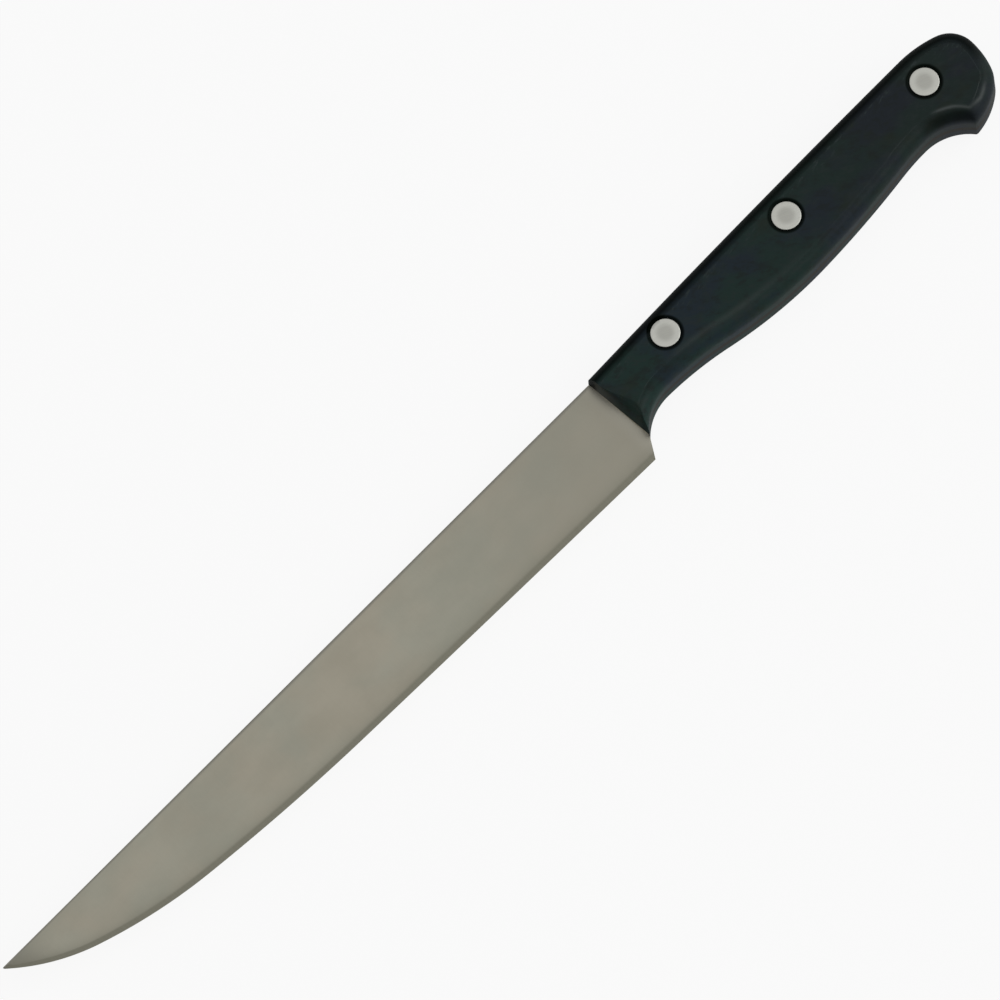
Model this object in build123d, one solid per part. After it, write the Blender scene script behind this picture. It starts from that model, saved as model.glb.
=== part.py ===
from build123d import *
import math
import os

# Carving knife with a full tang, two riveted handle scales and three two-piece rivets.
# It lies on its side: X runs from the point to the butt, Y from the edge to the spine, Z up.
# While it is drawn, X is zero where the blade leaves the handle, Y is zero on the spine line
# and Z is zero in the middle of the steel.

# Blade: its length from the handle to the point, and its depth from the spine to the edge
blade_length = 200.0
heel_depth = 24.6
heel_setback = 2.5
point_depth = 0.4
# Where the edge turns between the heel and the point, along the length and across the depth
edge_length_shares = (0.5, 0.75, 0.9)
edge_depth_shares = (0.92, 0.785, 0.515)
heel_rise = 0.9

# Steel: its thickness in the tang and along the spine, at the point and behind the bevel
steel_thickness = 2.0
point_thickness = 0.8
bevel_thickness = 0.4
bevel_width = 1.3
edge_thickness = 0.06
stations_per_arc = 5

# Handle outline: depths run below the spine line, and distances back from the handle's front
handle_length = 124.4
guard_setback = 0.8
guard_depth = 19.5
neck_distance = 12.0
neck_depth = 14.65
belly_front_distance = 31.0
belly_front_depth = 16.8
belly_distance = 61.0
belly_depth = 19.55
# Behind the belly, distances run forward from the end of the butt
belly_rear_distance = 34.4
belly_rear_depth = 17.25
waist_distance = 25.9
waist_depth = 16.7
hook_distance = 14.4
hook_depth = 22.7
hook_turn_distance = 4.4
hook_turn_depth = 19.0
butt_turn_distance = 1.6
butt_turn_depth = 15.4
butt_depth = 7.4
shoulder_distance = 5.0
shoulder_depth = 0.2
crest_distance = 15.8
crest_height = 1.7

# Handle section: its full thickness, and the rounding of each scale's outer edge
handle_thickness = 13.0
scale_rounding = 3.3
# The cut that slopes each scale's front down to the blade on the guard side
ramp_start_depth = 5.2
ramp_back = 3.5
ramp_back_depth = 13.5

# Rivets: the first stands back from the handle's front and the last ahead of the butt's end
rivet_first_distance = 20.7
rivet_last_distance = 15.7
rivet_first_depth = 5.9
rivet_last_depth = 7.0
rivet_row_shares = {"front": 0.0, "middle": 0.466, "rear": 1.0}
head_diameter = 7.2
head_height = 2.0
sleeve_diameter = 4.6
pin_diameter = 3.2
pin_end_gap = 0.4
sleeve_floor = 0.6
rivet_clearance = 0.03

# Every cut runs past what it cuts by this much
overrun = 5.0

scale_thickness = (handle_thickness - steel_thickness) / 2
handle_half = handle_thickness / 2
steel_half = steel_thickness / 2


def arc_chain(points, heading):
    """Arcs through the points, each setting out in the direction in which the last one ended."""
    arcs = []
    for start, end in zip(points, points[1:]):
        arc = TangentArc(start, end, tangent=heading)
        arcs.append(arc)
        heading = arc % 1
    return arcs


def handle_outline():
    """The closed outline that the tang and both scales share."""
    front = (0, 0)
    guard = (guard_setback, -guard_depth)
    neck = (neck_distance, -neck_depth)
    belly_front = (belly_front_distance, -belly_front_depth)
    belly = (belly_distance, -belly_depth)
    belly_rear = (handle_length - belly_rear_distance, -belly_rear_depth)
    waist = (handle_length - waist_distance, -waist_depth)
    hook = (handle_length - hook_distance, -hook_depth)
    hook_turn = (handle_length - hook_turn_distance, -hook_turn_depth)
    butt_turn = (handle_length - butt_turn_distance, -butt_turn_depth)
    butt = (handle_length, -butt_depth)
    shoulder = (handle_length - shoulder_distance, -shoulder_depth)
    crest = (handle_length - crest_distance, crest_height)
    spine_side = TangentArc(crest, front, tangent=(-1, 0))
    butt_side = arc_chain([crest, shoulder, butt, butt_turn, hook_turn, hook], (1, 0))
    under_hook = TangentArc(waist, hook, tangent=(1, 0))
    belly_side = arc_chain([waist, belly_rear, belly, belly_front, neck, guard], (-1, 0))
    front_line = Line(guard, front)
    return make_face([spine_side, *butt_side, under_hook, *belly_side, front_line])


def cutting_edge():
    """The edge from the heel to the point, nearly straight at first and then sweeping up."""
    bends = [
        (-length * blade_length, -depth * heel_depth)
        for length, depth in zip(edge_length_shares, edge_depth_shares)
    ]
    heel = (-heel_setback, -heel_depth)
    point = (-blade_length, -point_depth)
    rise = math.radians(heel_rise)
    return arc_chain([heel, *bends, point], (-math.cos(rise), math.sin(rise)))


def blade_section(distance, depth, slope):
    """The six-sided section of the blade, at a distance ahead of the handle."""
    taper = (steel_thickness - point_thickness) * max(distance, 0) / blade_length
    spine_half = (steel_thickness - taper) / 2
    # The bevel narrows towards the point, where less than its full width is left
    full_bevel = bevel_width / math.cos(slope)
    bevel = full_bevel * depth / (full_bevel + depth)
    half_section = [
        (0, spine_half),
        (bevel - depth, bevel_thickness / 2),
        (-depth, edge_thickness / 2),
    ]
    corners = half_section + [(y, -z) for y, z in reversed(half_section)]
    return Wire.make_polygon([(-distance, y, z) for y, z in corners])


def ground_blade():
    """The tapering blade, from just inside the handle's front to the point."""
    sections = [blade_section(-guard_setback, heel_depth, 0)]
    for arc in cutting_edge():
        for station in range(stations_per_arc):
            share = station / stations_per_arc
            place = arc @ share
            heading = arc % share
            slope = math.atan2(heading.Y, -heading.X)
            sections.append(blade_section(-place.X, -place.Y, slope))
    end = cutting_edge()[-1] % 1
    point_slope = math.atan2(end.Y, -end.X)
    sections.append(blade_section(blade_length, point_depth, point_slope))
    body = Solid.make_loft(sections)
    # Behind the heel the blade is cut away on a slant, up to the tip of the guard
    behind_heel = make_face(
        Polyline(
            (-heel_setback, -heel_depth),
            (guard_setback, -guard_depth),
            (guard_setback + overrun, -guard_depth),
            (guard_setback + overrun, -heel_depth - overrun),
            (-heel_setback, -heel_depth - overrun),
            close=True,
        )
    )
    return body - extrude(behind_heel, amount=steel_thickness, both=True)


def rivet_places():
    """The name and the place of each rivet along the row."""
    places = {}
    row_length = handle_length - rivet_first_distance - rivet_last_distance
    for name, share in rivet_row_shares.items():
        distance = rivet_first_distance + share * row_length
        depth = rivet_first_depth + share * (rivet_last_depth - rivet_first_depth)
        places[name] = (distance, -depth)
    return places


def post(diameter, bottom, top):
    """An upright round post between two levels."""
    base = (Align.CENTER, Align.CENTER, Align.MIN)
    return Pos(0, 0, bottom) * Cylinder(diameter / 2, top - bottom, align=base)


def rivet_bore():
    """What a rivet needs cleared: its sleeve all the way through and a recess for each head."""
    sleeve_hole = post(
        sleeve_diameter + 2 * rivet_clearance,
        -handle_half - overrun,
        handle_half + overrun,
    )
    recess_diameter = head_diameter + 2 * rivet_clearance
    recess_floor = handle_half - head_height
    upper = post(recess_diameter, recess_floor, handle_half + overrun)
    lower = post(recess_diameter, -handle_half - overrun, -recess_floor)
    return sleeve_hole + upper + lower


def rivet_sleeve():
    """The lower half: a head, and a tube closed at the bottom that takes the pin."""
    under_head = handle_half - head_height
    head = post(head_diameter, -handle_half, -under_head)
    tube = post(sleeve_diameter, -handle_half, under_head)
    bore = post(pin_diameter + 2 * rivet_clearance, sleeve_floor - handle_half, handle_half)
    return head + tube - bore


def rivet_pin():
    """The upper half: a head, and a solid shank that is pressed into the sleeve."""
    head = post(head_diameter, handle_half - head_height, handle_half)
    shank = post(pin_diameter, sleeve_floor + pin_end_gap - handle_half, handle_half)
    return head + shank


def drill(body):
    """The body with the bores of all the rivets."""
    bore = rivet_bore()
    for x, y in rivet_places().values():
        body -= Pos(x, y, 0) * bore
    return body


def tang_and_blade():
    """One piece of steel: the ground blade and the flat tang behind it."""
    tang = extrude(handle_outline(), amount=steel_half, both=True)
    return drill(tang + ground_blade())


def ramp_plane():
    """The plane of the front ramp, with its normal towards the scale's body."""
    start = Vector(0, -ramp_start_depth, handle_half)
    back = Vector(ramp_back, -ramp_back_depth, handle_half)
    guard_tip = Vector(guard_setback, -guard_depth, steel_half)
    along = back - start
    return Plane(origin=start, x_dir=along, z_dir=along.cross(guard_tip - start))


def upper_scale():
    """The scale above the tang: rounded all round but at its front, which slopes at the guard."""
    slab = Pos(0, 0, steel_half) * extrude(handle_outline(), amount=scale_thickness)
    outer_edges = slab.edges().group_by(Axis.Z)[-1]
    rounded = fillet(outer_edges.filter_by(GeomType.CIRCLE), radius=scale_rounding)
    ramped = split(rounded, bisect_by=ramp_plane(), keep=Keep.TOP)
    return drill(ramped)


scale = upper_scale()
nodes = {
    "blade_with_tang": tang_and_blade(),
    "upper_scale": scale,
    "lower_scale": mirror(scale, about=Plane.XY),
}
for name, (x, y) in rivet_places().items():
    nodes[f"{name}_rivet_sleeve"] = Pos(x, y, 0) * rivet_sleeve()
    nodes[f"{name}_rivet_pin"] = Pos(x, y, 0) * rivet_pin()

# The origin of the finished part is under the middle of its box, on the face it rests on
box = Compound(children=[shape.solid() for shape in nodes.values()]).bounding_box()
to_frame = Pos(-box.center().X, -box.center().Y, -box.min.Z)
print("handle front, spine line and steel middle are moved to", to_frame.position)

os.makedirs("parts", exist_ok=True)
for name, shape in nodes.items():
    export_step(to_frame * shape.solid(), f"parts/{name}.step")
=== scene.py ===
import math

import bmesh
import bpy
import numpy as np
from mathutils import Matrix, Vector


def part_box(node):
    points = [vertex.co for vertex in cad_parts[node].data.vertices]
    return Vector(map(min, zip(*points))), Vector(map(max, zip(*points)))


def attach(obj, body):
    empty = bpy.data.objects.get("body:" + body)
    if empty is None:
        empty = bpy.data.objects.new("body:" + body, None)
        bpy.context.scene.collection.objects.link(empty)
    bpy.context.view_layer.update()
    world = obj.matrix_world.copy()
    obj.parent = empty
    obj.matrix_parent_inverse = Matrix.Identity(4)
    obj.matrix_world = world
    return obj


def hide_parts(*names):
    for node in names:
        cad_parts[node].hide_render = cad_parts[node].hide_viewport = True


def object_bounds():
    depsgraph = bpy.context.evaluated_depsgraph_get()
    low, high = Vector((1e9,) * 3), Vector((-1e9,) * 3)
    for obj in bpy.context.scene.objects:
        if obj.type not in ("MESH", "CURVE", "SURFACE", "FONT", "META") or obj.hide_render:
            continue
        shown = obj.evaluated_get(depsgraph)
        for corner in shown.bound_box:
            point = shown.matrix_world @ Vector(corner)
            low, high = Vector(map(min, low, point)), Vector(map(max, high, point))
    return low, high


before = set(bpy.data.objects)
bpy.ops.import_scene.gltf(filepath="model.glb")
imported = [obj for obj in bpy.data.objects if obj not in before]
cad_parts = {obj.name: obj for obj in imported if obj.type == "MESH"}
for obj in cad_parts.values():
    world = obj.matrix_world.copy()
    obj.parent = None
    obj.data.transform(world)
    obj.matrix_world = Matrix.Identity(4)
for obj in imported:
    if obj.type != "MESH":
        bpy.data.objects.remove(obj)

cad_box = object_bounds()


# Blade and tang: one strip of stainless steel, 2 mm thick at the handle. The blade is ground to
# a thin wedge on both sides, polished across with a fine belt, and honed to a narrow bevel. The
# tang runs the whole length of the handle, and its edge is dressed flush with the scales.
MM = 0.001
blade_length = 200.0 * MM
heel_depth = 24.6 * MM
heel_setback = 2.5 * MM
heel_rise = math.radians(0.9)
point_depth = 0.4 * MM
edge_length_shares = (0.5, 0.75, 0.9)
edge_depth_shares = (0.92, 0.785, 0.515)
point_thickness = 0.8 * MM
bevel_thickness = 0.4 * MM
bevel_width = 1.3 * MM
edge_thickness = 0.06 * MM
spine_rounding = 0.3 * MM
guard_depth = 19.5 * MM
guard_setback = 0.8 * MM
crest_height = 1.7 * MM

# Everything is drawn from the corner where the blade's spine meets the handle's front, in the
# middle of the steel, with X towards the butt and Y towards the spine
steel_low, steel_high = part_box("blade_with_tang")
handle_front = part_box("upper_scale")[0].x
spine_line = steel_high.y - crest_height
steel_middle = (steel_low.z + steel_high.z) / 2
steel_half = (steel_high.z - steel_low.z) / 2
own_corner = np.array([handle_front, spine_line, steel_middle])

curve_step = 0.4 * MM
merge_distance = 1e-7
least_edge = 1e-8


def arc_points(start, end, heading):
    """Points from start up to, but not at, the end, along the arc that sets out in the heading.
    With chord c and left normal n, the turn is twice the angle from heading to chord and the
    curvature is 2 (n . c) / c^2. Returns the points and the heading in which the arc ends."""
    start, end, heading = (np.asarray(v, float) for v in (start, end, heading))
    normal = np.array([-heading[1], heading[0]])
    chord = end - start
    turn = 2 * math.atan2(normal @ chord, heading @ chord)
    curvature = 2 * (normal @ chord) / (chord @ chord)
    count = max(2, math.ceil(turn / curvature / curve_step))
    angle = np.linspace(0, turn, count, endpoint=False)[:, None]
    points = start + np.sin(angle) / curvature * heading + (1 - np.cos(angle)) / curvature * normal
    return points, math.cos(turn) * heading + math.sin(turn) * normal


def arc_chain(corners, heading):
    """A curve through the corners: arcs that each set out as the last one ended."""
    parts = []
    for start, end in zip(corners, corners[1:]):
        points, heading = arc_points(start, end, heading)
        parts.append(points)
    return np.vstack([*parts, [corners[-1]]])


def own_points(mesh):
    """The points of a mesh, from the knife's own corner."""
    points = np.empty(3 * len(mesh.vertices))
    mesh.vertices.foreach_get("co", points)
    return points.reshape(-1, 3) - own_corner


def stamp(thing, **marks):
    """Stores a number for each point of the piece under each name, for its finish to read."""
    for name, values in marks.items():
        stored = thing.data.attributes.new(name, "FLOAT", "POINT")
        stored.data.foreach_set("value", np.ascontiguousarray(values, dtype=np.float32))


def smoothed(mesh, sharp_angle):
    """Smooth shading, but for edges that turn by more than the angle in degrees."""
    mesh.shade_smooth()
    mesh.set_sharp_from_angle(angle=math.radians(sharp_angle))


def surface(name, grids):
    """An object of closed surfaces. Each grid holds rows by columns of points, given from the
    knife's own corner and joined to their neighbours by quads. Points that coincide are
    merged, so seams and poles close."""
    quads, first = [], 0
    for grid in grids:
        index = first + np.arange(grid[..., 0].size).reshape(grid.shape[:2])
        around = [index[:-1, :-1], index[1:, :-1], index[1:, 1:], index[:-1, 1:]]
        quads.append(np.stack(around, -1).reshape(-1, 4))
        first += index.size
    points = np.vstack([grid.reshape(-1, 3) for grid in grids]) + own_corner
    mesh = bpy.data.meshes.new(name)
    mesh.from_pydata(points.tolist(), [], np.vstack(quads).tolist())
    work = bmesh.new()
    work.from_mesh(mesh)
    bmesh.ops.remove_doubles(work, verts=work.verts, dist=merge_distance)
    bmesh.ops.dissolve_degenerate(work, dist=least_edge, edges=work.edges)
    bmesh.ops.recalc_face_normals(work, faces=work.faces)
    work.to_mesh(mesh)
    work.free()
    smoothed(mesh, sharp_angle=35)
    thing = bpy.data.objects.new(name, mesh)
    bpy.context.scene.collection.objects.link(thing)
    return thing


def combined(thing, other, operation):
    """The piece joined with another, or cut by it, which is then removed."""
    change = thing.modifiers.new(operation.lower(), "BOOLEAN")
    change.operation, change.object, change.solver = operation, other, "EXACT"
    bpy.context.view_layer.update()
    dressed = thing.evaluated_get(bpy.context.evaluated_depsgraph_get())
    mesh = bpy.data.meshes.new_from_object(dressed)
    thing.modifiers.clear()
    thing.data = mesh
    bpy.data.objects.remove(other)
    smoothed(mesh, sharp_angle=30)
    return thing


class Shade:
    """A value in a finish's node tree: sums written with it add their Math nodes."""

    def __init__(self, finish, socket):
        self.finish, self.socket = finish, socket

    def maths(self, operation, *values):
        return self.finish.node("ShaderNodeMath", {"operation": operation}, dict(enumerate(values)))

    def __add__(self, other):
        return self.maths("ADD", self, other)

    __radd__ = __add__

    def __mul__(self, other):
        return self.maths("MULTIPLY", self, other)

    __rmul__ = __mul__

    def __sub__(self, other):
        return self.maths("SUBTRACT", self, other)

    def __rsub__(self, other):
        return self.maths("SUBTRACT", other, self)

    def step(self, low, high):
        """0 below low and 1 above high, in a smooth rise, or the other way if low is more."""
        ends = {"Value": self, "From Min": low, "From Max": high}
        return self.finish.node("ShaderNodeMapRange", {"interpolation_type": "SMOOTHSTEP"}, ends)


class Finish:
    """The node tree of a material or of the world, put together from its nodes."""

    def __init__(self, owner):
        self.owner = owner
        owner.use_nodes = True
        self.tree = owner.node_tree
        self.tree.nodes.clear()

    def node(self, kind, settings=None, inputs=None, output=0):
        """Adds a node: its settings first, then the values or links of its sockets."""
        made = self.tree.nodes.new(kind)
        for name, value in (settings or {}).items():
            setattr(made, name, value)
        for name, value in (inputs or {}).items():
            if isinstance(value, Shade):
                self.tree.links.new(value.socket, made.inputs[name])
            else:
                made.inputs[name].default_value = value
        return Shade(self, made.outputs[output]) if made.outputs else made

    def where(self):
        """The place on the piece, in the knife's frame."""
        return self.node("ShaderNodeTexCoord", output="Object")

    def along(self, start, end):
        """A smooth rise along the knife, from 0 to 1 between two distances in millimetres
        behind the handle's front. Distances ahead of it, along the blade, are negative."""
        x = self.node("ShaderNodeSeparateXYZ", {}, {0: self.where()})
        return x.step(handle_front + start * MM, handle_front + end * MM)

    def noise(self, cell, detail=3.0, roughness=0.5, turn=0.0):
        """Cloudy noise from 0 to 1 with cells of the given size in millimetres along X, Y and Z,
        on the piece's own coordinates turned about Z by an angle in degrees."""
        turns = {"Vector": self.where(), "Rotation": (0, 0, math.radians(turn))}
        turned = self.node("ShaderNodeMapping", {}, turns)
        sizes = {"Vector": turned, "Scale": [1 / (side * MM) for side in cell]}
        cells = self.node("ShaderNodeMapping", {}, sizes)
        inputs = {"Vector": cells, "Scale": 1.0, "Detail": detail, "Roughness": roughness}
        return self.node("ShaderNodeTexNoise", {"noise_dimensions": "3D"}, inputs)

    def mark(self, name):
        """A number stored on the piece's points."""
        return self.node("ShaderNodeAttribute", {"attribute_name": name}, output="Fac")

    def blend(self, share, first, second):
        """A colour between two, as far towards the second as the share says."""
        first, second = (c if isinstance(c, Shade) else (*c, 1.0) for c in (first, second))
        settings = {"data_type": "RGBA", "clamp_factor": True}
        return self.node("ShaderNodeMix", settings, {0: share, 6: first, 7: second}, output=2)

    def relief(self, height, distance, strength):
        """A bump of this many millimetres, from a value between 0 and 1."""
        inputs = {"Height": height, "Distance": distance * MM, "Strength": strength}
        return self.node("ShaderNodeBump", {}, inputs)

    def finished(self, **sockets):
        """The material, with the shader's sockets set or linked."""
        named = {}
        for name, value in sockets.items():
            named[name.replace("_", " ").title().replace("Ior", "IOR")] = value
        shader = self.node("ShaderNodeBsdfPrincipled", {}, named)
        self.node("ShaderNodeOutputMaterial", {}, {"Surface": shader})
        return self.owner


def wear(thing, material):
    """Puts one finish on the whole piece."""
    thing.data.materials.clear()
    thing.data.materials.append(material)


heel = (-heel_setback, -heel_depth)
point = (-blade_length, -point_depth)
bends = [
    (-length * blade_length, -depth * heel_depth)
    for length, depth in zip(edge_length_shares, edge_depth_shares)
]
heel_heading = (-math.cos(heel_rise), math.sin(heel_rise))
edge_curve = arc_chain([heel, *bends, point], heel_heading)

# The blade's skin stays a hair inside the tang's faces and laps a little way into the tang
hair = 0.02 * MM
lap = 0.5 * MM
lap_fade = 1.0 * MM
heel_sweep = 9.0 * MM
corner_share = 0.45
blade_rows = 330
corner_columns = 7
face_columns = 33
bevel_columns = 8


def ground_blade():
    """The blade's skin. A row follows the edge from the heel to the point, and a column goes
    round the section: spine, rounded corner, flat ground face, bevel, edge, and back below.
    Thickness falls in a straight line from the spine to the bevel and along the spine to the
    point. The columns lean at the heel, so that the first one is the slanted end of the blade,
    which laps a little into the tang."""
    travelled = np.r_[0, np.cumsum(np.hypot(*np.diff(edge_curve, axis=0).T))]
    rows = np.linspace(0, travelled[-1], blade_rows)
    ahead, depth = (-np.interp(rows, travelled, c)[:, None] for c in edge_curve.T)
    slope = np.gradient(depth[:, 0], ahead[:, 0])[:, None]
    taper = np.clip(ahead / blade_length, 0, 1)
    spine_half = steel_half - hair - (steel_half - point_thickness / 2) * taper
    full_bevel = bevel_width * np.hypot(1, slope)
    bevel = full_bevel * depth / (full_bevel + depth)
    corner = np.minimum(spine_rounding, corner_share * np.minimum(spine_half, depth))
    turn = np.linspace(0, math.pi / 2, corner_columns)
    corner_y = -hair - corner * (1 - np.cos(turn))
    corner_z = spine_half - corner * (1 - np.sin(turn))
    across = np.linspace(0, 1, face_columns + 1)[1:]
    face_y = corner_y[:, -1:] + (bevel - depth - corner_y[:, -1:]) * across
    face_z = spine_half + (bevel_thickness / 2 - spine_half) * across
    fall = np.linspace(0, 1, bevel_columns + 1)[1:]
    bevel_y = (bevel - depth) - bevel * fall
    bevel_z = bevel_thickness / 2 + (edge_thickness - bevel_thickness) / 2 * fall + 0 * bevel_y
    y = np.hstack([corner_y[:, :1], corner_y, face_y, bevel_y, bevel_y[:, -1:]])
    z = np.hstack([0 * depth, corner_z, face_z, bevel_z, 0 * depth])
    below_guard = np.clip((-y - guard_depth) / (heel_depth - guard_depth), 0, 1)
    front_line = np.minimum(-y / guard_depth, 1) * guard_setback
    lapped = lap * np.clip((guard_depth + y) / lap_fade, 0, 1) - hair
    end_x = front_line + lapped - below_guard * (guard_setback + heel_setback)
    sweep = np.clip(1 - (ahead - heel_setback) / heel_sweep, 0, 1) ** 2
    x = -ahead + (end_x + heel_setback) * sweep
    upper = np.stack([x, y, z], -1)
    skin = np.concatenate([upper, upper[:, -2::-1] * (1, 1, -1)], 1)
    ends = [np.stack([row, row * (1, 1, 0), row * (1, 1, -1)]) for row in (upper[0], upper[-1])]
    return [skin, *ends]


# The handle's outline, in millimetres: its corners are joined by arcs
corners = {
    "front": (0, 0),
    "guard": (0.8, -19.5),
    "neck": (12.0, -14.65),
    "belly_front": (31.0, -16.8),
    "belly": (61.0, -19.55),
    "belly_rear": (90.0, -17.25),
    "waist": (98.5, -16.7),
    "hook": (110.0, -22.7),
    "hook_turn": (120.0, -19.0),
    "butt_turn": (122.8, -15.4),
    "butt": (124.4, -7.4),
    "shoulder": (119.4, -0.2),
    "crest": (108.6, 1.7),
}


def through(names, heading):
    """The arcs through some of the outline's corners, in the order of their names."""
    return arc_chain([np.multiply(corners[name], MM) for name in names.split()], heading)


spine_side = through("crest front", (-1, 0))[::-1]
butt_side = through("crest shoulder butt butt_turn hook_turn hook", (1, 0))
under_hook = through("waist hook", (1, 0))[::-1]
belly_side = through("waist belly_rear belly belly_front neck guard", (-1, 0))
outline = np.vstack([spine_side, butt_side[1:], under_hook[1:], belly_side[1:]])

# The core is the line in the handle's middle at which the rays from the rim end
core_depth = 9.5 * MM
core_end = 114.0 * MM
front_zone = 6.0 * MM
front_rays = 48
side_rays = 212
butt_rays = 120
points_at_once = 2000


def inside(points):
    """How far each point lies inside the outline's curved sides: the least distance to any of
    the straight pieces that the curves are cut into."""
    start, run = outline[:-1], np.diff(outline, axis=0)
    flat = points.reshape(-1, 2)
    best = np.full(len(flat), np.inf)
    for first in range(0, len(flat), points_at_once):
        batch = slice(first, first + points_at_once)
        gap = flat[batch, None] - start
        share = np.clip((gap * run).sum(-1) / (run * run).sum(-1), 0, 1)
        away = gap - share[..., None] * run
        best[batch] = np.hypot(away[..., 0], away[..., 1]).min(1)
    return best.reshape(points.shape[:-1])


def rays():
    """Lines from the rim to the handle's core: straight across along the grip, closest at the
    front, and a fan round the end of the core at the butt. Returns their outer and inner ends."""
    near = front_zone * np.linspace(0, 1, front_rays, endpoint=False) ** 2
    along = np.r_[near, np.linspace(front_zone, core_end, side_rays)] / core_end
    peak = np.argmax(outline[:, 0])
    top, low = outline[:peak + 1], outline[:peak - 1:-1]
    top_x = along * core_end
    low_x = guard_setback + along * (core_end - guard_setback)
    core_x = guard_setback * core_depth / guard_depth * (1 - along) + along * core_end
    upper = np.stack([top_x, np.interp(top_x, top[:, 0], top[:, 1])], -1)
    lower = np.stack([low_x, np.interp(low_x, low[:, 0], low[:, 1])], -1)
    core = np.stack([core_x, np.full(len(along), -core_depth)], -1)
    away = outline - core[-1]
    angle, reach = np.arctan2(away[:, 1], away[:, 0]), np.hypot(*away.T)
    order = np.argsort(angle)
    fan = np.linspace(math.pi / 2, -math.pi / 2, butt_rays + 2)[1:-1]
    fan_reach = np.interp(fan, angle[order], reach[order])[:, None]
    round_butt = core[-1] + fan_reach * np.stack([np.cos(fan), np.sin(fan)], -1)
    rim = np.vstack([upper, round_butt, lower[::-1]])
    return rim, np.vstack([core, np.tile(core[-1], (len(fan), 1)), core[::-1]])


rim, core = rays()
table_rows = 40
table_crowding = 1.5
ease_reach = 4
ease_width = 1.6


def rings(depths):
    """Closed lines round the handle at the given depths inside the rim: on each ray, the place
    that is so deep, read from a table of depths along it, and eased by a bell curve along the
    line."""
    share = np.linspace(0, 1, table_rows) ** table_crowding
    table = inside(rim + share[:, None, None] * (core - rim))
    found = np.array([[np.interp(d, column, share) for column in table.T] for d in depths])
    ease = np.exp(-0.5 * (np.arange(-ease_reach, ease_reach + 1) / ease_width) ** 2)
    padded = np.pad(found, ((0, 0), (ease_reach, ease_reach)), mode="edge")
    found = np.array([np.convolve(row, ease / ease.sum(), "valid") for row in padded])
    return rim + found[..., None] * (core - rim)


def shell(low, high, depths, core_shares, wall_rows):
    """A closed body over the handle's outline. Its two sheets share their plan: the rings at the
    depths, and then shares of the way to the core. low and high give a sheet's height from the
    plan and the depth; between them stand the wall at the rim and the end at the front."""
    plan = rings(depths)
    deepest = plan[-1]
    plan = np.concatenate([plan, [deepest + s * (core - deepest) for s in core_shares]])
    depth = inside(plan)
    low_sheet, high_sheet = (
        np.concatenate([plan, height(plan, depth)[..., None]], -1) for height in (low, high)
    )
    sides = [(low_sheet[0], high_sheet[0])]
    sides += [(low_sheet[:, end], high_sheet[:, end]) for end in (0, -1)]
    rows = np.linspace(0, 1, wall_rows)[:, None, None]
    return [low_sheet, high_sheet, *(below + rows * (above - below) for below, above in sides)]


def level(height):
    """A flat sheet, with its rim broken by a tenth of a millimetre towards the wall."""
    broken = 0.1 * MM
    return lambda plan, depth: height - np.sign(height) * np.clip(broken - depth, 0, None)


tang_depths = np.array([0, 0.1, 1.0, 3.3]) * MM
tang_body = shell(level(-steel_half), level(steel_half), tang_depths, (0.5, 1.0), wall_rows=6)
tang = surface("tang", tang_body)
blade = combined(surface("blade_with_full_tang", ground_blade()), tang, "UNION")
haze = 0.55
haze_fade = 1.6 * MM
dressed_width = 0.3 * MM


def steel_marks(points):
    """1 on the bevel, with a haze above it that fades by a decaying curve, and 1 on the spine
    and along the tang's edge."""
    x, y = points[:, 0], points[:, 1]
    edge_x, edge_y = edge_curve.T
    edge_below = np.interp(-x, -edge_x, edge_y)
    slope = np.interp(-x, -edge_x, np.gradient(edge_y, -edge_x))
    full_bevel = bevel_width * np.hypot(1, slope)
    above = y - edge_below + full_bevel * edge_below / (full_bevel - edge_below)
    hazy = np.where(above < hair, 1, haze * np.exp(-np.clip(above, 0, None) / haze_fade))
    rim_depth = np.where(x < 0, -y - spine_rounding, inside(points[:, :2]))
    dressed = np.interp(rim_depth, (hair, dressed_width), (1, 0))
    return {"bevel": hazy * (x < 0), "dressed": dressed}


stamp(blade, **steel_marks(own_points(blade.data)))
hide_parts("blade_with_tang")
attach(blade, "root")
shaded_heel = (0.42, 0.405, 0.335)
front_highlight = (0.58, 0.56, 0.48)
point_shade = (0.24, 0.235, 0.20)


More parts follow.
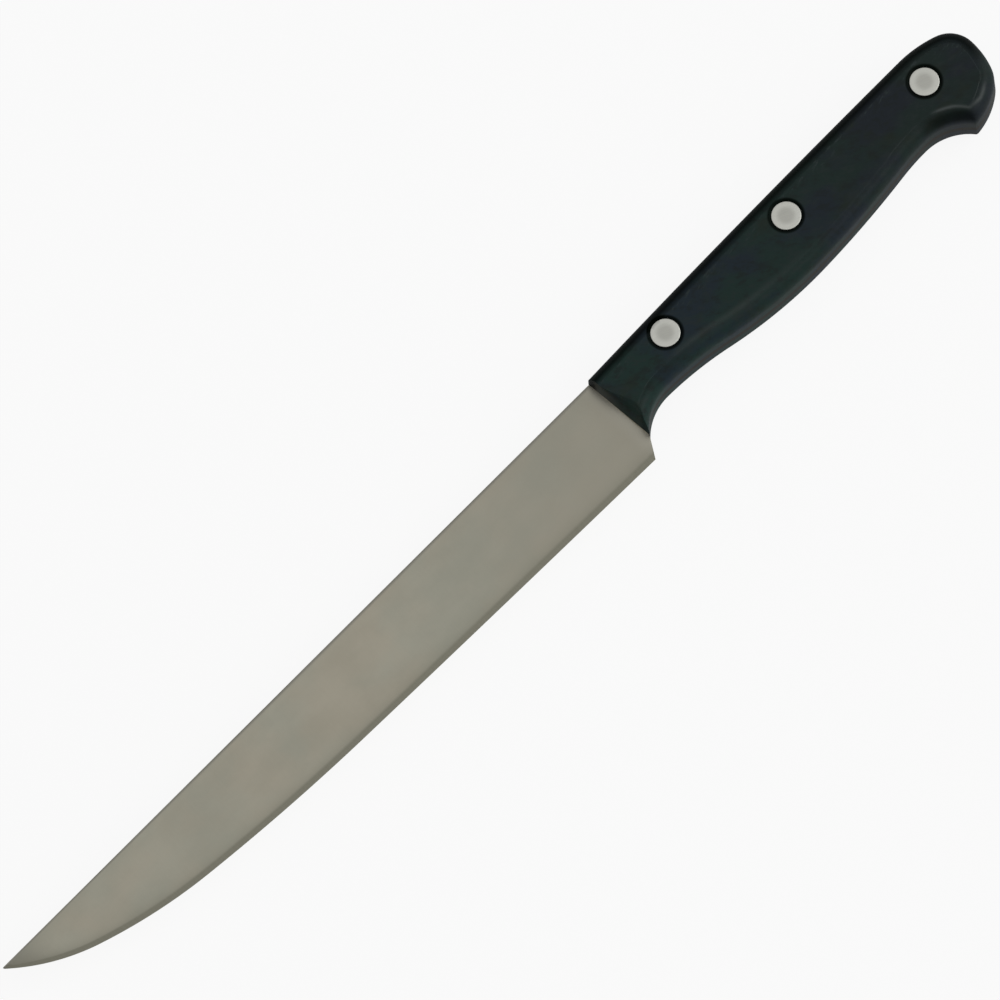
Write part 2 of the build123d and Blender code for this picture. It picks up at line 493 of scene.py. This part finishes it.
def steel_finish():
    """Satin stainless steel: belt marks across the blade and faint warm and cool clouds. The
    bevel is darker, with a haze that fades into the face, and the spine has long marks. Painted
    shade darkens the blade towards the heel and at the point, and a painted highlight lightens a
    strip just ahead of the handle. The tang's edge is painted near black, as shade, and is dull."""
    finish = Finish(bpy.data.materials.new("belt_ground_steel"))
    belt_marks = finish.noise((0.35, 30, 30), detail=6, roughness=0.65, turn=4)
    hairlines = finish.noise((0.09, 9, 9), detail=2, turn=-3)
    long_marks = finish.noise((12, 0.12, 0.12), detail=5, roughness=0.6)
    clouds = finish.noise((16, 11, 11), detail=4, roughness=0.6)
    warmth = finish.noise((23, 17, 17), detail=3)
    bevel, dressed = finish.mark("bevel"), finish.mark("dressed")
    tone = 0.35 * belt_marks + 0.2 * hairlines + 0.45 * clouds.step(0.3, 0.7)
    cool = finish.blend(tone, (0.435, 0.432, 0.355), (0.545, 0.53, 0.435))
    warm = finish.blend(tone, (0.465, 0.433, 0.345), (0.57, 0.53, 0.43))
    face = finish.blend(warmth.step(0.35, 0.65), cool, warm)
    # Painted shade: the blade is darker towards the heel, next to the handle.
    face = finish.blend(0.6 * finish.along(-75, -10), face, shaded_heel)
    # Painted highlight: a narrow strip of the blade just ahead of the handle is lighter.
    face = finish.blend(0.4 * finish.along(-4, -0.5), face, front_highlight)
    # Painted shade: the blade is darker at the point.
    face = finish.blend(0.6 * finish.along(-186, -199), face, point_shade)
    honed = finish.blend(hairlines, (0.27, 0.262, 0.205), (0.34, 0.33, 0.265))
    ground = finish.blend(bevel, face, honed)
    spine = finish.blend(long_marks, (0.27, 0.26, 0.22), (0.42, 0.405, 0.35))
    # Painted shade: the tang's edge between the scales is near black.
    tang_edge_shade = finish.blend(long_marks, (0.020, 0.020, 0.018), (0.060, 0.058, 0.052))
    between_scales = finish.along(0, 1.5)
    edge = finish.blend(between_scales, spine, tang_edge_shade)
    dull = (0.16 * long_marks + 0.32 * between_scales) * dressed
    scratches = belt_marks * (1 - dressed) + 0.4 * hairlines + long_marks * dressed
    return finish.finished(
        base_color=finish.blend(dressed, ground, edge),
        metallic=1.0,
        roughness=0.29 + 0.13 * belt_marks + dull + 0.06 * bevel,
        normal=finish.relief(scratches, distance=0.003, strength=0.5),
    )


wear(blade, steel_finish())


# Handle scales: two mirrored halves moulded in black plastic, riveted on either side of the
# tang and dressed flush with it. Their outer edges are rounded, and at the guard their front
# slopes down to the blade in a scoop that is widest above the guard.
handle_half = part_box("upper_scale")[1].z - steel_middle
scale_rounding = 3.3 * MM
scoop_start = 4.0 * MM
scoop_widest = 13.5 * MM
scoop_fade = 7.2 * MM
scoop_least = 0.3 * MM
scoop_most = 2.8 * MM
scoop_roundness = 2.0
front_lip = 0.15 * MM
crest_softness = 0.4 * MM
recess_radius = 3.63 * MM
recess_depth = 2.0 * MM
groove_depth = 0.32 * MM
groove_width = 0.55 * MM
first_rivet = np.array([20.7, -5.9]) * MM
last_rivet = np.array([108.7, -7.0]) * MM
rivet_places = {
    "front": first_rivet,
    "middle": first_rivet + 0.466 * (last_rivet - first_rivet),
    "rear": last_rivet,
}


def scoop_height(plan):
    """The height of the front slope. At each depth below the spine line it rises from the steel
    to the full height over a run that grows from the scoop's start to its widest place, by
    a squared sine, and then shrinks again. With t the share of the run, the height is
    1 - (1 - t) to the power of the roundness."""
    depth = -plan[..., 1]
    growth = np.clip((depth - scoop_start) / (scoop_widest - scoop_start), 0, 1)
    fade = np.clip((depth - scoop_widest) / scoop_fade, 0, 1)
    width = (np.sin(growth * math.pi / 2) * np.cos(fade * math.pi / 2)) ** 2
    run = scoop_least + (scoop_most - scoop_least) * width
    behind_front = plan[..., 0] - np.minimum(depth / guard_depth, 1) * guard_setback
    t = np.clip(behind_front / run, 0, 1)
    foot = steel_half + front_lip
    return foot + (handle_half - foot) * (1 - (1 - t) ** scoop_roundness)


def scale_face(plan, depth):
    """The height of the scale's outside: a quarter circle from the rim inwards, then level, and
    no higher than the scoop, which it meets in a soft edge."""
    short = np.clip(scale_rounding - depth, 0, None)
    rounded = handle_half - scale_rounding + np.sqrt(scale_rounding**2 - short**2)
    scoop = scoop_height(plan)
    nearness = np.clip(1 - np.abs(scoop - rounded) / crest_softness, 0, 1)
    soft = nearness**2 * crest_softness / 4 * (depth < scale_rounding)
    return np.maximum(np.minimum(rounded, scoop) - soft, steel_half + front_lip)


def lathe(profile, centre, follow, segments=96):
    """A turned body: a profile of radius and height carried round a centre. Rows marked in
    follow rise and fall with the scale's face."""
    angle = np.linspace(0, 2 * math.pi, segments + 1)
    radius, height = (np.array(v)[:, None] for v in zip(*profile))
    plan = centre + radius[..., None] * np.stack([np.cos(angle), np.sin(angle)], -1)
    lift = (scale_face(plan, inside(plan)) - handle_half) * np.array(follow, float)[:, None]
    return np.concatenate([plan, (height + lift)[..., None]], -1)


# Marks on the scales, in millimetres from the front, below the spine line and inside the rim. A
# painted highlight lies on the crest of the belly and of the hook, where it lies nearer to the rim
# and is narrower, and hands have also rubbed that crest smooth. Painted shade lies on the
# rounding, towards the spine and in the hook's hollow.
crest_highlight_at = (14, 24, 38, 50, 64, 103.5, 106, 109, 111, 112, 114, 117, 119)
crest_highlight_shares = (0.0, 0.32, 0.3, 0.14, 0.02, 0.02, 0.9, 1.0, 0.9, 0.5, 1.0, 0.8, 0.0)
crest_at, crest_depths = (109, 112, 115), (3.6, 2.88, 2.0)
crest_width_at, crest_widths = (50, 105), (0.75, 0.42)
butt_start = 111
below_butt_at, below_butt_shares = (-17.5, -15.5), (1, 0)
painted_shade_depths, painted_shade_shares = (0.1, 0.5, 2.0, 3.6), (0, 1, 1, 0)
towards_spine_at, towards_spine_shares = (-14, -9), (0, 1)
hollow_at, hollow_shares = (98, 103, 110, 112.5), (0, 0.7, 0.7, 0)
wall_depths, wall_shares = (1.2, 2.6), (1, 0)
spine_band_depths, spine_band_shares = (2.8, 3.4, 4.0, 6.5), (0, 1, 1, 0)


def scale_marks(points):
    """Marks from the depth inside the rim: 1 on the sides, fading over the rounding; 1 in
    a band beside the spine; painted shade; and how much painted highlight and polish the belly's
    and the hook's crest carries, by a bell curve across it, which ends below the butt."""
    x, y = points[:, 0] / MM, points[:, 1] / MM
    depth = inside(points[:, :2]) / MM
    belly_half = y < -core_depth / MM
    towards_spine = np.interp(y, towards_spine_at, towards_spine_shares)
    in_hollow = np.interp(x, hollow_at, hollow_shares) * belly_half
    # Painted shade on the rounding towards the spine and in the hook's hollow.
    shade_amount = np.interp(depth, painted_shade_depths, painted_shade_shares) * np.maximum(towards_spine, in_hollow)
    crest = np.interp(x, crest_at, crest_depths)
    bell = np.exp(-((depth - crest) / np.interp(x, crest_width_at, crest_widths)) ** 2)
    below_butt = np.interp(y, below_butt_at, below_butt_shares)
    reached = np.where(x > butt_start, below_butt, belly_half)
    return {
        "side_wall": np.interp(depth, wall_depths, wall_shares),
        "near_spine": np.interp(depth, spine_band_depths, spine_band_shares) * ~belly_half,
        "painted_shade": shade_amount,
        # Painted highlight on the belly's and the hook's crest, which hands have also rubbed
        # smooth.
        "highlight_and_polish": bell * reached * np.interp(x, crest_highlight_at, crest_highlight_shares),
    }


rounding_rows = 20
beyond_rounding = np.array([0.15, 0.3, 0.5, 0.75, 1.0]) * MM
core_rows = 17


def moulded_scale(name):
    """One half above the steel, with a recess for each rivet head cut into its face, and a
    shallow groove round the recess."""
    turn = np.linspace(0, math.pi / 2, rounding_rows + 2)[2:]
    rounding = scale_rounding * (1 - np.cos(turn))
    depths = np.r_[0, 0.1 * MM, rounding, scale_rounding + beyond_rounding]
    core_shares = np.linspace(0, 1, core_rows + 1)[1:]
    body = shell(level(steel_half), scale_face, depths, core_shares, wall_rows=12)
    profile = [
        (0, handle_half - recess_depth),
        (recess_radius, handle_half - recess_depth),
        (recess_radius, handle_half - groove_depth),
        (recess_radius + 2 * groove_width, handle_half + groove_depth),
        (0, handle_half + groove_depth),
    ]
    cutters = [lathe(profile, centre, (0, 0, 1, 1, 1)) for centre in rivet_places.values()]
    half = combined(surface(name, body), surface("recess_cutter", cutters), "DIFFERENCE")
    stamp(half, **scale_marks(own_points(half.data)))
    return half


def mirrored(thing, name):
    """The like half below the steel: each point as far below its middle, and the faces turned."""
    mesh = thing.data.copy()
    mesh.name = name
    points = own_points(mesh) * (1, 1, -1) + own_corner
    mesh.vertices.foreach_set("co", points.ravel())
    mesh.flip_normals()
    half = bpy.data.objects.new(name, mesh)
    bpy.context.scene.collection.objects.link(half)
    return half


def rivet_rings(finish):
    """1 in the groove round each rivet, fading at its outer edge."""
    outer, inner = recess_radius + 2.2 * groove_width, recess_radius + groove_width
    plan = finish.node("ShaderNodeVectorMath", {"operation": "MULTIPLY"},
                       {0: finish.where(), 1: (1, 1, 0)})
    ring = 0.0
    for centre in rivet_places.values():
        ends = {0: plan, 1: (centre[0] + handle_front, centre[1] + spine_line, 0)}
        away = finish.node("ShaderNodeVectorMath", {"operation": "DISTANCE"}, ends, output="Value")
        ring = ring + away.step(outer, inner)
    return ring


faded_mottle = (0.0105, 0.0190, 0.0185)
dark_mottle = (0.0008, 0.0060, 0.0050)
# Painted sheen: lighter flecks in a band beside the spine.
spine_sheen = (0.020, 0.033, 0.033)
# Painted highlight on the crest.
crest_painted_highlight = (0.060, 0.072, 0.070)
# Painted shade, near black.
painted_shade_black = (0.0018, 0.0032, 0.0020)


def plastic_finish():
    """Black moulded plastic: a fine sparked grain and cloudy tones, greener at the front than
    at the butt. A painted highlight lightens the crest, which hands have also rubbed smooth, and
    lighter flecks beside the spine are painted sheen. The sides are dull with sanding marks.
    Painted shade darkens the spine's rounding, the hook's hollow and a ring round each rivet and
    takes their sheen off: it is written as a black metal, which mirrors less than plastic does."""
    finish = Finish(bpy.data.materials.new("moulded_black_plastic"))
    grain = finish.noise((0.45, 0.45, 0.45), detail=4, roughness=0.6)
    clouds = finish.noise((9, 6, 6), detail=4, roughness=0.6)
    tints = finish.noise((15, 8, 8), detail=3, turn=20)
    mottles = finish.noise((3.4, 2.0, 2.0), detail=4, roughness=0.65, turn=35)
    sanding = finish.noise((7, 0.14, 0.14), detail=4)
    flecks = finish.noise((2.4, 0.7, 0.7), detail=5, roughness=0.7, turn=-12)
    side_wall, near_spine = finish.mark("side_wall"), finish.mark("near_spine")
    painted_shade, highlight_and_polish = finish.mark("painted_shade"), finish.mark("highlight_and_polish")
    behind = finish.along(10, 115)
    green = finish.blend(behind, (0.0020, 0.0230, 0.0180), (0.0018, 0.0134, 0.0106))
    blue = finish.blend(behind, (0.0034, 0.0150, 0.0250), (0.0034, 0.0086, 0.0150))
    olive = finish.blend(behind, (0.0044, 0.0170, 0.0100), (0.0040, 0.0114, 0.0058))
    tone = finish.blend(tints.step(0.42, 0.62), green, blue)
    tone = finish.blend(clouds.step(0.5, 0.72), tone, olive)
    tone = finish.blend(0.5 * mottles.step(0.5, 0.68), tone, faded_mottle)
    tone = finish.blend(0.6 * mottles.step(0.5, 0.34), tone, dark_mottle)
    # Painted sheen in lighter flecks beside the spine.
    tone = finish.blend(0.8 * (near_spine * flecks.step(0.54, 0.64)), tone, spine_sheen)
    # Painted highlight on the crest.
    tone = finish.blend(highlight_and_polish, tone, crest_painted_highlight)
    ring = rivet_rings(finish)
    # Painted shade: the spine's rounding, the hook's hollow and the groove round each rivet are
    # darkened and made a black metal.
    shade_mix = 0.8 * painted_shade + 0.85 * ring
    sanded = (0.24 + 0.12 * sanding) * side_wall
    return finish.finished(
        base_color=finish.blend(shade_mix, tone, painted_shade_black),
        metallic=shade_mix,
        roughness=0.36 + 0.12 * grain + sanded - 0.08 * highlight_and_polish + 0.12 * ring,
        specular_ior_level=0.3,
        normal=finish.relief(grain * (1 - highlight_and_polish) + 0.5 * sanding * side_wall, 0.006, 0.4),
    )


upper_half = moulded_scale("upper_scale_moulding")
lower_half = mirrored(upper_half, "lower_scale_moulding")
plastic = plastic_finish()
for half, node in ((upper_half, "upper_scale"), (lower_half, "lower_scale")):
    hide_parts(node)
    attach(half, "root")
    wear(half, plastic)


# Rivets: three aluminium pairs, each a headed pin driven into a headed sleeve from the other
# side. Their heads are ground down together with the scales, so they follow the handle's face.
head_radius = 3.6 * MM
head_height = 2.0 * MM
sleeve_radius = 2.3 * MM
pin_radius = 1.6 * MM
bore_radius = 1.63 * MM
pin_end = -5.5 * MM
bore_end = 5.9 * MM
edge_break = 0.12 * MM
dome = 0.03 * MM
face_rings = 9
edge_rings = 5


def head_profile():
    """A head from its middle to under its rim: a very low dome, then a quarter circle."""
    flat = np.linspace(0, head_radius - edge_break, face_rings)
    turn = np.linspace(0, math.pi / 2, edge_rings + 1)[1:]
    radius = np.r_[flat, head_radius - edge_break + edge_break * np.sin(turn)]
    height = handle_half - dome * (radius / head_radius) ** 2
    height[face_rings:] -= edge_break * (1 - np.cos(turn))
    return list(zip(radius, height))


def rivet_half(name, centre, stem, side):
    """One half of a rivet: its head, and the stem's own corners below it."""
    head = head_profile()
    profile = [*head, (head_radius, under_head), *stem]
    follow = [True] * len(head) + [False] * (len(stem) + 1)
    half = surface(name, [lathe(profile, centre, follow) * (1, 1, side)])
    stamp(half, radius=np.hypot(*(own_points(half.data)[:, :2] - centre).T))
    return half


def rivet_finish():
    """Aluminium ground in one direction, brighter towards the rim, with a few deeper marks."""
    finish = Finish(bpy.data.materials.new("satin_rivet_metal"))
    marks = finish.noise((3, 0.12, 2), detail=4, turn=25)
    dents = finish.noise((0.8, 0.8, 0.8), detail=2)
    rim = finish.mark("radius").step(0.35 * head_radius, 0.8 * head_radius)
    tone = 0.4 * marks + 0.6 * rim
    return finish.finished(
        base_color=finish.blend(tone, (0.545, 0.545, 0.495), (0.84, 0.845, 0.78)),
        metallic=1.0,
        roughness=0.27 + 0.1 * marks + 0.06 * dents,
        normal=finish.relief(marks + dents, distance=0.004, strength=0.4),
    )


rivet_metal = rivet_finish()
under_head = handle_half - head_height
pin_stem = [(pin_radius, under_head), (pin_radius, pin_end), (0, pin_end)]
sleeve_stem = [
    (sleeve_radius, under_head),
    (sleeve_radius, -under_head),
    (bore_radius, -under_head),
    (bore_radius, bore_end),
    (0, bore_end),
]
for key, centre in rivet_places.items():
    for kind, stem, side in (("pin", pin_stem, 1), ("sleeve", sleeve_stem, -1)):
        half = rivet_half(f"{key}_{kind}", centre, stem, side)
        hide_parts(f"{key}_rivet_{kind}")
        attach(half, "root")
        wear(half, rivet_metal)


# Floor: a plain white sheet under the knife, which keeps the knife's soft shadow. The camera,
# and what metal mirrors, sees it nearly as white as paper.
floor_half = 6.0
floor_white = (0.9, 0.9, 0.9, 1)
floor_glow = 0.9
floor_corners = [
    (x * floor_half, y * floor_half, 0) for x, y in ((-1, -1), (1, -1), (1, 1), (-1, 1))
]
floor_mesh = bpy.data.meshes.new("floor")
floor_mesh.from_pydata(floor_corners, [], [(0, 1, 2, 3)])
floor = bpy.data.objects.new("floor", floor_mesh)
bpy.context.scene.collection.objects.link(floor)
paper = Finish(bpy.data.materials.new("white_floor"))
seen = sum(
    paper.node("ShaderNodeLightPath", output=f"Is {kind} Ray")
    for kind in ("Camera", "Glossy", "Transmission")
)
shaded = paper.node("ShaderNodeBsdfDiffuse", {}, {"Color": floor_white})
white = paper.node("ShaderNodeEmission", {}, {"Color": (1, 1, 1, 1), "Strength": 1.0})
mixed = paper.node("ShaderNodeMixShader", {}, {"Fac": floor_glow * seen, 1: shaded, 2: white})
paper.node("ShaderNodeOutputMaterial", {}, {"Surface": mixed})
wear(floor, paper.owner)


# Lights: an even dim studio, a large soft box on the belly's side towards the butt, and a
# wide faint one overhead, which the blade and the flat of the handle mirror.
studio_level = 0.36
box_distance = 3.0
knife_middle = (cad_box[0] + cad_box[1]) / 2
studio = Finish(bpy.data.worlds.new("studio"))
bpy.context.scene.world = studio.owner
even = studio.node("ShaderNodeBackground", {}, {"Color": (1, 1, 1, 1), "Strength": studio_level})
studio.node("ShaderNodeOutputWorld", {}, {"Surface": even})


def soft_light(name, direction, box_side, radiance):
    """A square soft box that faces the knife from a direction, with the given radiance."""
    light = bpy.data.lights.new(name, "AREA")
    light.shape = "SQUARE"
    light.size = box_side
    light.energy = radiance * math.pi * box_side**2
    lamp = bpy.data.objects.new(name, light)
    away = Vector(direction).normalized()
    turned = away.to_track_quat("Z", "Y").to_matrix().to_4x4()
    lamp.matrix_world = Matrix.Translation(knife_middle + box_distance * away) @ turned
    bpy.context.scene.collection.objects.link(lamp)


soft_light("key_soft_box", direction=(0.74, -0.45, 0.5), box_side=3.4, radiance=1.25)
soft_light("overhead_soft_box", direction=(0.15, 0.15, 0.98), box_side=2.4, radiance=0.24)


# Camera: a long lens straight over the knife, leaning 20 degrees. The knife's spine runs at
# 46.5 degrees across the picture, and one pixel of it is 0.2382 mm.
camera_lean = math.radians(20)
lean_side = math.radians(10)
spine_turn = math.radians(46.5)
photo_scale = 0.2382 * MM
photo_side = 1000
front_pixel = (588.75, 386.0)
camera_distance = 8.0
view_end = 30.0
sensor_width = 36.0
camera_data = bpy.data.cameras.new("camera")
camera_data.sensor_width = sensor_width
camera_data.lens = sensor_width * camera_distance / (photo_side * photo_scale)
camera_data.clip_end = view_end
camera = bpy.data.objects.new("camera", camera_data)
lean_axis = Vector((math.cos(lean_side), math.sin(lean_side), 0))
turn = Matrix.Rotation(-spine_turn, 4, "Z") @ Matrix.Rotation(camera_lean, 4, lean_axis)
right, up, back = turn.to_3x3().transposed()
off_right = (front_pixel[0] - photo_side / 2) * photo_scale
off_up = (photo_side / 2 - front_pixel[1]) * photo_scale
aim = Vector(own_corner) - off_right * right - off_up * up
camera.matrix_world = Matrix.Translation(aim + camera_distance * back) @ turn
bpy.context.scene.collection.objects.link(camera)
bpy.context.scene.camera = camera
bpy.context.scene.view_settings.view_transform = "Standard"
